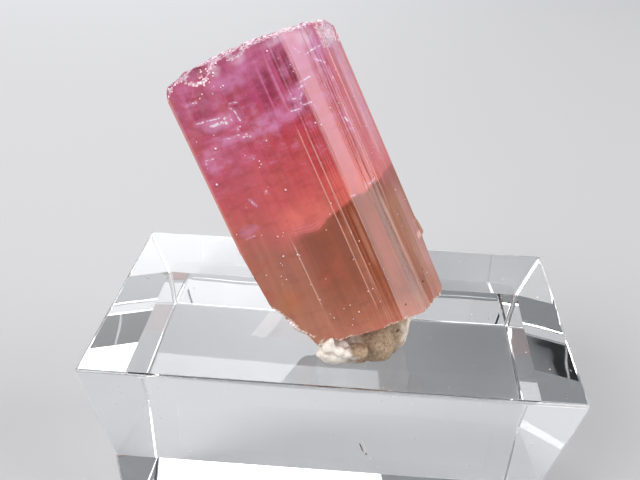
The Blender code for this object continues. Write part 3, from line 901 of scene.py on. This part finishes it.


# marks that reach the crystal's skin, in the crystal's upright frame: each bubble as a painted white glint
# with a painted shadow beside it, white crumbs and scuffs, and dark grains

inclusions = {
    # each bubble's painted white glint: x, z, radius
    "bubbleGlints": [
        (-4.1, 15.04, 0.075), (-4.97, 13.01, 0.07), (-3.86, 15.81, 0.04), (-1.13, 14.29, 0.045),
        (-1.3, 11.14, 0.065), (-2.26, 13.6, 0.04), (-2.02, 13.34, 0.045), (-1.99, 13.12, 0.045),
        (-2.16, 12.99, 0.03), (-2.66, 13.98, 0.035), (-4.18, 18.03, 0.04), (-4.0, 17.95, 0.035),
        (-3.68, 18.11, 0.05), (-3.46, 18.3, 0.045), (-2.87, 18.08, 0.045), (-2.11, 18.25, 0.055),
        (-2.28, 18.22, 0.04), (1.94, 14.09, 0.05), (2.2, 13.84, 0.055), (3.78, 14.47, 0.04),
        (3.13, 14.47, 0.04), (4.91, 14.31, 0.04), (-2.2, 15.67, 0.05), (-4.99, 15.85, 0.035),
        (1.06, 19.04, 0.055), (-2.93, 8.66, 0.05), (-3.11, 7.39, 0.06), (-3.46, 7.04, 0.035),
        (-3.4, 6.88, 0.03), (-4.59, 6.64, 0.035), (-3.56, 5.95, 0.045), (-3.76, 6.25, 0.035),
        (-2.28, 7.17, 0.05), (-2.18, 7.08, 0.03), (-2.52, 8.76, 0.03), (-2.62, 8.58, 0.025),
        (-3.79, 9.09, 0.03), (-0.63, 2.99, 0.035), (-1.06, 2.92, 0.03), (-0.3, 2.39, 0.045),
        (-1.85, 2.59, 0.04), (-1.97, 2.91, 0.03), (-0.8, 2.08, 0.03), (-1.01, 1.74, 0.035),
        (-2.19, 4.0, 0.04), (-2.31, 5.1, 0.03), (0.7, 5.62, 0.03), (-2.95, 19.5, 0.07),
        (-2.33, 19.17, 0.065), (-2.6, 19.38, 0.05), (-1.95, 19.6, 0.06),
    ],
    # crumbs of white along the broken edge
    "crumbs": [
        (-4.54, 3.42, 0.07), (-4.46, 3.22, 0.11), (-4.38, 3.02, 0.1), (-4.31, 2.84, 0.08),
        (-4.14, 2.62, 0.05), (-3.98, 2.42, 0.06), (-3.82, 2.24, 0.05), (-3.66, 2.04, 0.04),
        (-3.69, 18.97, 0.075), (-3.51, 18.87, 0.08), (-3.25, 18.91, 0.1), (-3.11, 18.72, 0.07),
        (-2.9, 18.91, 0.085), (-3.01, 19.06, 0.07), (-2.75, 18.96, 0.06), (-2.77, 18.75, 0.045),
        (-3.38, 18.96, 0.07), (-3.06, 18.86, 0.08), (-3.93, 19.14, 0.045), (-3.0, 19.47, 0.06),
        (-2.95, 19.62, 0.05), (-2.63, 19.54, 0.055), (-2.31, 19.15, 0.07), (-2.41, 19.02, 0.045),
        (-5.15, 19.36, 0.07), (-4.68, 19.42, 0.06), (-5.04, 19.14, 0.045), (-5.34, 18.95, 0.055),
        (-4.5, 19.46, 0.05), (-4.26, 19.44, 0.045), (4.43, 18.67, 0.045),
    ],
    # white scuffs: x, z to x, z, half width
    "scuffs": [
        (4.54, 19.46, 4.48, 19.34, 0.04), (4.89, 19.14, 4.84, 18.9, 0.04), (5.17, 18.65, 5.42, 18.29, 0.06),
        (5.66, 18.33, 5.7, 18.13, 0.04), (5.7, 18.08, 5.66, 17.88, 0.04), (5.64, 17.84, 5.55, 17.73, 0.04),
        (5.42, 18.22, 5.34, 17.85, 0.04), (4.78, 18.57, 4.91, 18.19, 0.035),
        (4.99, 18.49, 5.13, 17.97, 0.035), (4.27, 19.12, 4.42, 19.02, 0.025),
        (5.05, 18.66, 5.12, 18.42, 0.045), (5.2, 18.42, 5.3, 18.1, 0.03),
    ],
    "grains": [(4.52, 2.56, 0.05), (4.19, 1.95, 0.07), (2.52, 1.52, 0.055)],
    "strewn": {"bubbleGlints": 110, "grains": 10, "heights": (1.5, 18.8), "grainsBelow": 9.0, "seed": 5},
}


def surfaceDepth(crystal, x, z):
    # how far back the finished surface stands here, seen from the front
    turn = turned(crystalShape["lean"]).to_matrix()
    home = Vector(crystalShape["place"])
    start = turn @ Vector((x, -9.0, z)) + home
    found, spot = crystal.ray_cast(start * mm, turn @ Vector((0, 1, 0)))[:2]
    return (turn.inverted() @ (spot / mm - home)).y if found else skinSpot(x)


def addSpeck(x, y, z, size):
    # sunk a little, so that it doesn't hang off the skin
    sunk = (x, y + 0.004, z)
    return addPebble(sunk, (size, size, size), rough=0.35, waves=1.4, shift=Vector((x, y, z)) * 3)


def scuffSteps(x0, z0, x1, z1, wide):
    # a chain of crumbs from one end to the other
    steps = max(2, round(math.hypot(x1 - x0, z1 - z0) / (wide * 1.1)))
    shares = [step / (steps - 1) for step in range(steps)]
    return [(x0 + (x1 - x0) * share, z0 + (z1 - z0) * share, wide) for share in shares]


def strewn(rng, points):
    point = rng.choice(points)
    return point[0], point[1], rng.uniform(*inclusions["strewn"]["heights"])


def finishMarks(pieces, name, slot, material):
    # those on the crystal are made in its own upright frame, in millimetres
    marks = joinPieces(pieces, name)
    marks.data.shade_smooth()
    if slot == "tourmaline":
        marks.data.transform(Matrix.Scale(mm, 4))
        standUp(marks)
    return settle(marks, None, material)


def makeInclusions(crystal, pale, dark):
    points = sectionPoints()
    more = inclusions["strewn"]
    rng = random.Random(more["seed"])
    bubbleGlints = inclusions["bubbleGlints"]
    white = bubbleGlints + inclusions["crumbs"]
    for scuff in inclusions["scuffs"]:
        white += scuffSteps(*scuff)
    # painted shadows: a dark speck down and to the left of each bubble's glint, then the dark grains
    bubbleShadowsAndGrains = [(x - size * 0.9, z - size * 0.8, size * 0.7) for x, z, size in bubbleGlints] + inclusions["grains"]
    light = [addSpeck(x, surfaceDepth(crystal, x, z), z, size) for x, z, size in white]
    heavy = [addSpeck(x, surfaceDepth(crystal, x, z), z, size) for x, z, size in bubbleShadowsAndGrains]
    # more bubbles strewn about, each painted as a tiny white glint
    for _ in range(more["bubbleGlints"]):
        light.append(addSpeck(*strewn(rng, points), rng.uniform(0.014, 0.036)))
    for _ in range(more["grains"]):
        x, y, z = strewn(rng, points)
        if z < more["grainsBelow"]:
            heavy.append(addSpeck(x, y, z, rng.uniform(0.02, 0.05)))
    light = finishMarks(light, "crumbs_and_bubble_glints", "tourmaline", pale)
    return light, finishMarks(heavy, "dark_grains_and_bubble_shadows", "tourmaline", dark)


def makeGrainMaterial(name, colour, rough, frosted):
    material, tree, shader = newMaterial(name)
    grain = clouds(place(tree, "ShaderNodeTexCoord").outputs["Object"], 9000.0)
    feed(shader, [
        ("Base Color", tint(spread(grain, 0.35, 0.65), srgb(*colour), frosted)),
        ("Roughness", timesPlus(grain, 0.2, rough)),
    ])
    return material


# display base: clear moulded acrylic, in millimetres

baseShape = {
    "width": 32.2,
    "depth": 22.5,
    "height": 14.0,
    "tier": 7.55,
    "inset": 1.9,
    "draft": 5.0,
    # rounded edges: radius, segments
    "corners": (0.2, 5),
    "rim": (0.3, 6),
    "hem": (0.15, 3),
    "flatArea": 15.0,
    "smoothAngle": 24,
}


def levelRings(obj, heights):
    # rounding the slanted corners lifts their middle points a little off the flat faces
    edit = bmesh.from_edit_mesh(obj.data)
    for vert in edit.verts:
        vert.co.z = min((height * mm for height in heights), key=lambda level: abs(level - vert.co.z))
    bmesh.update_edit_mesh(obj.data)


def roundEdges(obj, rounding, test):
    radius, segments = rounding
    selectEdges(obj, test)
    bpy.ops.mesh.bevel(offset=radius * mm, segments=segments, profile=0.5, affect="EDGES")


def makeBase(material):
    shape = baseShape
    top, waist = shape["height"], shape["height"] - shape["tier"]
    drawIn = waist * math.tan(math.radians(shape["draft"]))
    halfX, halfY = shape["width"] / 2 - shape["inset"], shape["depth"] / 2 - shape["inset"]
    bpy.ops.object.select_all(action="DESELECT")
    bpy.ops.mesh.primitive_cube_add(size=1, location=(0, 0, waist / 2 * mm))
    base = bpy.context.object
    base.name = base.data.name = "clear_display_block"
    base.scale = (2 * halfX * mm, 2 * halfY * mm, waist * mm)
    bpy.ops.object.transform_apply(location=True, rotation=True, scale=True)
    openEdit(base, "FACE")
    selectFaces(base, lambda up: up < -0.5)
    bpy.ops.transform.resize(value=((halfX - drawIn) / halfX, (halfY - drawIn) / halfY, 1))
    selectFaces(base, lambda up: up > 0.5)
    extrude(shape["tier"])
    bpy.ops.transform.resize(value=(shape["width"] / 2 / halfX, shape["depth"] / 2 / halfY, 1))
    bpy.ops.mesh.select_mode(type="EDGE")
    roundEdges(base, shape["corners"], lambda a, b: abs(a.z - b.z) > mm)
    levelRings(base, (0.0, waist, top))
    roundEdges(base, shape["rim"], lambda a, b: min(a.z, b.z) > (top - 0.01) * mm)
    roundEdges(base, shape["hem"], lambda a, b: max(a.z, b.z) < 0.01 * mm)
    # one point at each corner of the top and of the underside
    selectFaces(base, lambda up: abs(up) > 0.999)
    bpy.ops.mesh.remove_doubles(threshold=0.25 * mm)
    selectEdges(base, lambda a, b: max(abs(a.z - waist * mm), abs(b.z - waist * mm)) < 0.01 * mm)
    bpy.ops.mesh.mark_sharp()
    bpy.ops.object.mode_set(mode="OBJECT")
    pickOnly(base)
    bpy.ops.object.shade_smooth_by_angle(angle=math.radians(shape["smoothAngle"]), keep_sharp_edges=True)
    # the big polished faces stay flat, and only the rounded edges are smooth
    for face in base.data.polygons:
        face.use_smooth = face.area < (shape["flatArea"] * mm * mm)
    return settle(base, "display_base", material)


acrylicLook = {
    "tint": (0.97, 0.98, 0.99),
    "absorption": (0.9, 0.94, 0.96),
    "density": 6.0,
    "ior": 1.49,
    # specks of dust: cells per millimetre, radius, share of cells
    "dust": (1.1, 0.06, 0.35),
}


def makeAcrylic():
    look = acrylicLook
    material, tree, shader = newMaterial("clear_acrylic")
    spot = objectSpot(tree, [("Scale", (1000, 1000, 1000))])
    dust = useGroup(specks, spot, *look["dust"])
    rough = timesPlus(spread(clouds(spot, 0.25, 3.0), 0.5, 0.75), 0.03, 0.012)
    bumps = timesPlus(dust, 0.6, clouds(spot, 0.16, 1.0))
    feed(shader, [
        ("Base Color", (*look["tint"], 1)),
        ("Roughness", timesPlus(dust, 0.5, rough)),
        ("Normal", addBump(bumps, 0.2, 0.05)),
        ("Transmission Weight", 1.0),
        ("IOR", look["ior"]),
    ])
    addAbsorption(tree, look)
    return material


# dust grains, and a scratch with a painted shadow beside it, on the block, in millimetres in the frame

dustShape = {
    # x, y, half length
    "onTop": [
        (-6.67, -10.19, 0.05), (-1.47, -10.49, 0.07), (-1.13, -10.87, 0.05), (-1.81, -10.67, 0.05),
        (-1.3, -10.6, 0.04), (1.51, -10.46, 0.045), (3.28, -10.8, 0.07),
    ],
    # x, z, half length
    "onFront": [
        (-1.56, 13.42, 0.05), (-0.78, 12.87, 0.07), (3.23, 13.26, 0.06), (5.16, 13.16, 0.07),
        (-5.32, 10.79, 0.05), (3.21, 8.33, 0.045), (3.7, 7.51, 0.055), (5.05, 7.85, 0.04),
        (5.17, 6.73, 0.06), (6.68, 6.88, 0.05), (5.67, 7.05, 0.045),
    ],
    # x, z to x, z, half width
    "paleScratches": [
        (2.24, 9.5, 2.5, 8.44, 0.045), (2.62, 8.62, 2.68, 8.4, 0.05), (2.72, 8.24, 2.98, 7.66, 0.016),
    ],
    # painted shadows: dark lines beside the pale scratch
    "scratchShadows": [(2.09, 9.26, 2.38, 8.42, 0.04), (2.5, 8.36, 2.62, 8.22, 0.04)],
    "strewn": 34,
    "margin": 0.6,
    "seed": 12,
}


def onFront(x, z):
    # the spot on the sloping front of the block at this height
    shape = baseShape
    return Vector((x, -shape["depth"] / 2 + (shape["height"] - z) * shape["inset"] / shape["tier"], z))


def addGrain(spot, half, turn):
    spot = Vector(spot)
    return addPebble(spot * mm, Vector(half) * mm, turn, rough=0.4, waves=1.6, shift=spot * 2)


def addScratch(x0, z0, x1, z1, wide):
    start, end = onFront(x0, z0), onFront(x1, z1)
    turn = (end - start).to_track_quat("X", "Y").to_euler()
    return addGrain((start + end) / 2, ((end - start).length / 2, wide, wide), turn)


def makeDust(pale, dark):
    rng = random.Random(dustShape["seed"])
    height = baseShape["height"]
    spots = [(Vector((x, y, height)), size) for x, y, size in dustShape["onTop"]]
    spots += [(onFront(x, z), size) for x, z, size in dustShape["onFront"]]
    light = []
    for spot, size in spots:
        light.append(addGrain(spot, (size, size * 0.7, size * 0.6), (0, 0, rng.uniform(0, 3))))
    halfX, halfY = (baseShape[side] / 2 - dustShape["margin"] for side in ("width", "depth"))
    for _ in range(dustShape["strewn"]):
        spot = (rng.uniform(-halfX, halfX), rng.uniform(-halfY, halfY), height)
        size = rng.uniform(0.02, 0.05)
        light.append(addGrain(spot, (size * rng.uniform(1, 3), size, size * 0.6), (0, 0, rng.uniform(0, 3))))
    light += [addScratch(*scratch) for scratch in dustShape["paleScratches"]]
    heavy = [addScratch(*scratch) for scratch in dustShape["scratchShadows"]]
    light = finishMarks(light, "dust_grains", "clear_acrylic", pale)
    return light, finishMarks(heavy, "scratch_shadows", "clear_acrylic", dark)


# mounting tack: kneaded putty, in millimetres in the frame

tackShape = {
    # centre, half sizes: the pressed lump, then the torn lip in front of the crystal
    "lumps": [
        ((0.15, -7.4, 14.6), (1.25, 1.15, 1.2)), ((1.3, -7.0, 14.7), (1.3, 1.3, 1.45)),
        ((2.5, -6.1, 15.0), (1.6, 1.9, 1.75)), ((3.5, -5.3, 15.6), (1.4, 1.8, 2.1)),
        ((4.2, -5.0, 16.6), (0.95, 1.2, 1.5)), ((2.0, -4.4, 14.8), (2.3, 2.1, 1.6)),
        ((4.0, -4.9, 17.6), (1.1, 1.6, 1.3)), ((0.1, -8.7, 15.25), (0.95, 0.95, 0.75)),
        ((-0.43, -9.2, 15.38), (0.48, 0.5, 0.38)), ((-0.72, -9.3, 15.28), (0.24, 0.26, 0.22)),
        ((-0.15, -9.75, 16.05), (0.36, 0.34, 0.46)), ((-0.1, -9.9, 16.5), (0.17, 0.2, 0.26)),
        ((-0.42, -9.75, 15.9), (0.24, 0.28, 0.34)), ((0.38, -9.65, 15.75), (0.42, 0.36, 0.34)),
        ((0.95, -9.3, 15.45), (0.55, 0.5, 0.34)), ((1.6, -8.6, 15.2), (0.7, 0.7, 0.5)),
    ],
    "voxel": 0.075,
    # strength and size of the folds, dents, tears and crumbs
    "relief": [(0.34, 1.1), (0.16, 0.45), (0.1, 0.2), (0.05, 0.1)],
    "floor": 14.0,
}


def cutTack(tack, crystal):
    # flat where it is pressed on the block, and open where the crystal sits in it
    openEdit(tack, "FACE", "SELECT")
    floor = (0, 0, (tackShape["floor"] + 0.004) * mm)
    bpy.ops.mesh.bisect(plane_co=floor, plane_no=(0, 0, 1), clear_inner=True, use_fill=True, threshold=1e-7)
    bpy.ops.object.mode_set(mode="OBJECT")
    addModifier(tack, "BOOLEAN", operation="DIFFERENCE", object=crystal, solver="EXACT")


def makeTack(material, crystal):
    lumps = tackShape["lumps"]
    tack = joinPieces(
        [addPebble(Vector(centre) * mm, Vector(half) * mm, fine=4) for centre, half in lumps], "kneaded_tack")
    addModifier(tack, "REMESH", mode="VOXEL", voxel_size=tackShape["voxel"] * mm)
    for number, (strength, size) in enumerate(tackShape["relief"]):
        texture = bpy.data.textures.new(f"tackLumps{number}", "CLOUDS")
        texture.noise_scale = size * mm
        addModifier(tack, "DISPLACE", texture=texture, strength=strength * mm, mid_level=0.5)
    addModifier(tack, "REMESH", mode="VOXEL", voxel_size=tackShape["voxel"] * mm)
    cutTack(tack, crystal)
    tack.data.shade_smooth()
    return settle(tack, "mounting_tack", material)


puttyLook = {
    "white": (234, 226, 217),
    "beige": (188, 164, 138),
    "dark": (146, 122, 98),
    "grit": (48, 38, 32),
    # specks of grit: cells per millimetre, radius, share of cells
    "specks": (3.5, 0.045, 0.6),
    # darker patches: centre, half size
    "darkPatches": [((4.11, -6.9, 15.96), (0.24, 0.7, 0.18)), ((1.75, -7.9, 14.55), (0.55, 0.6, 0.3))],
}


def makePutty():
    look = puttyLook
    material, tree, shader = newMaterial("kneaded_putty")
    spot = objectSpot(tree, [("Scale", (1000, 1000, 1000))])
    x = splitSpot(spot)[0]
    mottle, grain = clouds(spot, 1.3, 5.0), clouds(spot, 6.0, 5.0)
    # white at the left, and at the right darker and gritty beige, partly soiled and partly painted shade
    soiledAndShaded = spread(timesPlus(mottle, 1.6, minus(x, 0.8)), 1.0, 1.6)
    sandy = tint(spread(grain, 0.34, 0.68), srgb(*look["dark"]), look["beige"])
    colour = blendColour(soiledAndShaded, srgb(*look["white"]), sandy)
    colour = tint(spread(grain, 0.50, 0.34, 0.0, 0.25), colour, look["beige"])
    edge = times(spread(x, 3.9, 4.8, 0.0, 0.8), spread(mottle, 0.40, 0.6))
    colour = tint(edge, colour, look["white"])
    grit = useGroup(specks, spot, *look["specks"])
    colour = tint(times(grit, soiledAndShaded), colour, look["grit"])
    for bit in look["darkPatches"]:
        mask = times(useGroup(zone, spot, *bit), spread(grain, 0.40, 0.52))
        colour = tint(mask, colour, look["grit"])
    feed(shader, [
        ("Base Color", colour),
        ("Roughness", timesPlus(mottle, 0.3, 0.60)),
        ("Normal", addBump(grain, 0.6, 0.05)),
        ("Subsurface Weight", 0.12),
        ("Subsurface Radius", (0.4 * mm, 0.3 * mm, 0.2 * mm)),
        ("Subsurface Scale", 1.0),
    ])
    return material


# studio: pale floor, soft lights and the camera

# spot in millimetres, turn in degrees
cameraPlace = {"spot": (1.264, -64.302, 46.924), "turn": (66.546, -2.496, 3.572), "lens": 56.2}
softboxes = [
    # name, spot in metres, size, watts, colour
    ("keySoftbox", (-0.24, -0.3, 0.26), 0.26, 1.75, (1.0, 0.97, 0.94)),
    ("sideSoftbox", (0.34, -0.05, 0.14), 0.46, 1.65, (1.0, 0.98, 0.97)),
    ("backSoftbox", (-0.12, 0.34, 0.22), 0.28, 0.8, (0.97, 0.98, 1.0)),
]


def toStudio(name, data, spot, turn):
    obj = bpy.data.objects.new(name, data)
    bpy.context.scene.collection.objects.link(obj)
    obj.location, obj.rotation_euler = spot, turn
    return obj


def makeStudio():
    bpy.ops.object.select_all(action="DESELECT")
    bpy.ops.mesh.primitive_plane_add(size=4, location=(0, 0, -0.02 * mm))
    floor = bpy.context.object
    floor.name = "studio_floor"
    material, _, shader = newMaterial("pale_floor")
    feed(shader, [("Base Color", (0.58, 0.58, 0.59, 1)), ("Roughness", 0.7)])
    floor.data.materials.append(material)
    for name, spot, size, watts, colour in softboxes:
        light = bpy.data.lights.new(name, "AREA")
        light.shape = "SQUARE"
        light.size = size
        light.energy = watts
        light.color = colour
        aim = Vector((0, -0.004, 0.022)) - Vector(spot)
        toStudio(name, light, spot, aim.to_track_quat("-Z", "Y").to_euler())
    world = bpy.data.worlds.new("soft_room")
    world.use_nodes = True
    feed(world.node_tree.nodes["Background"], [("Color", (0.80, 0.82, 0.86, 1)), ("Strength", 0.34)])
    bpy.context.scene.world = world
    bpy.context.scene.view_settings.view_transform = "Standard"


def makeCamera():
    data = bpy.data.cameras.new("studio_camera")
    data.lens = cameraPlace["lens"]
    data.sensor_width = 36
    data.clip_start = 1 * mm
    spot = Vector(cameraPlace["spot"]) * mm
    bpy.context.scene.camera = toStudio("studio_camera", data, spot, turned(cameraPlace["turn"]))


makeCamera()
makeStudio()
print("studio ready")
crystal = makeCrystal(makeTourmaline())
print("crystal", len(crystal.data.polygons), "faces")
palePieces = makeGrainMaterial("pale_crumb_and_glint", (255, 242, 244), 0.12, (248, 214, 222))
darkPieces = makeGrainMaterial("dark_grain_and_shadow", (70, 42, 34), 0.5, (40, 26, 22))
marks = makeInclusions(crystal, palePieces, darkPieces)
print("inclusions", [len(piece.data.polygons) for piece in marks], "faces")
base = makeBase(makeAcrylic())
print("display block", len(base.data.polygons), "faces")
paleDust = makeGrainMaterial("pale_dust", (236, 232, 226), 0.4, (190, 184, 178))
dust = makeDust(paleDust, makeGrainMaterial("scratch_shadow", (52, 50, 52), 0.4, (30, 30, 32)))
print("dust", [len(piece.data.polygons) for piece in dust], "faces")
tack = makeTack(makePutty(), crystal)
print("tack", len(tack.data.polygons), "faces")
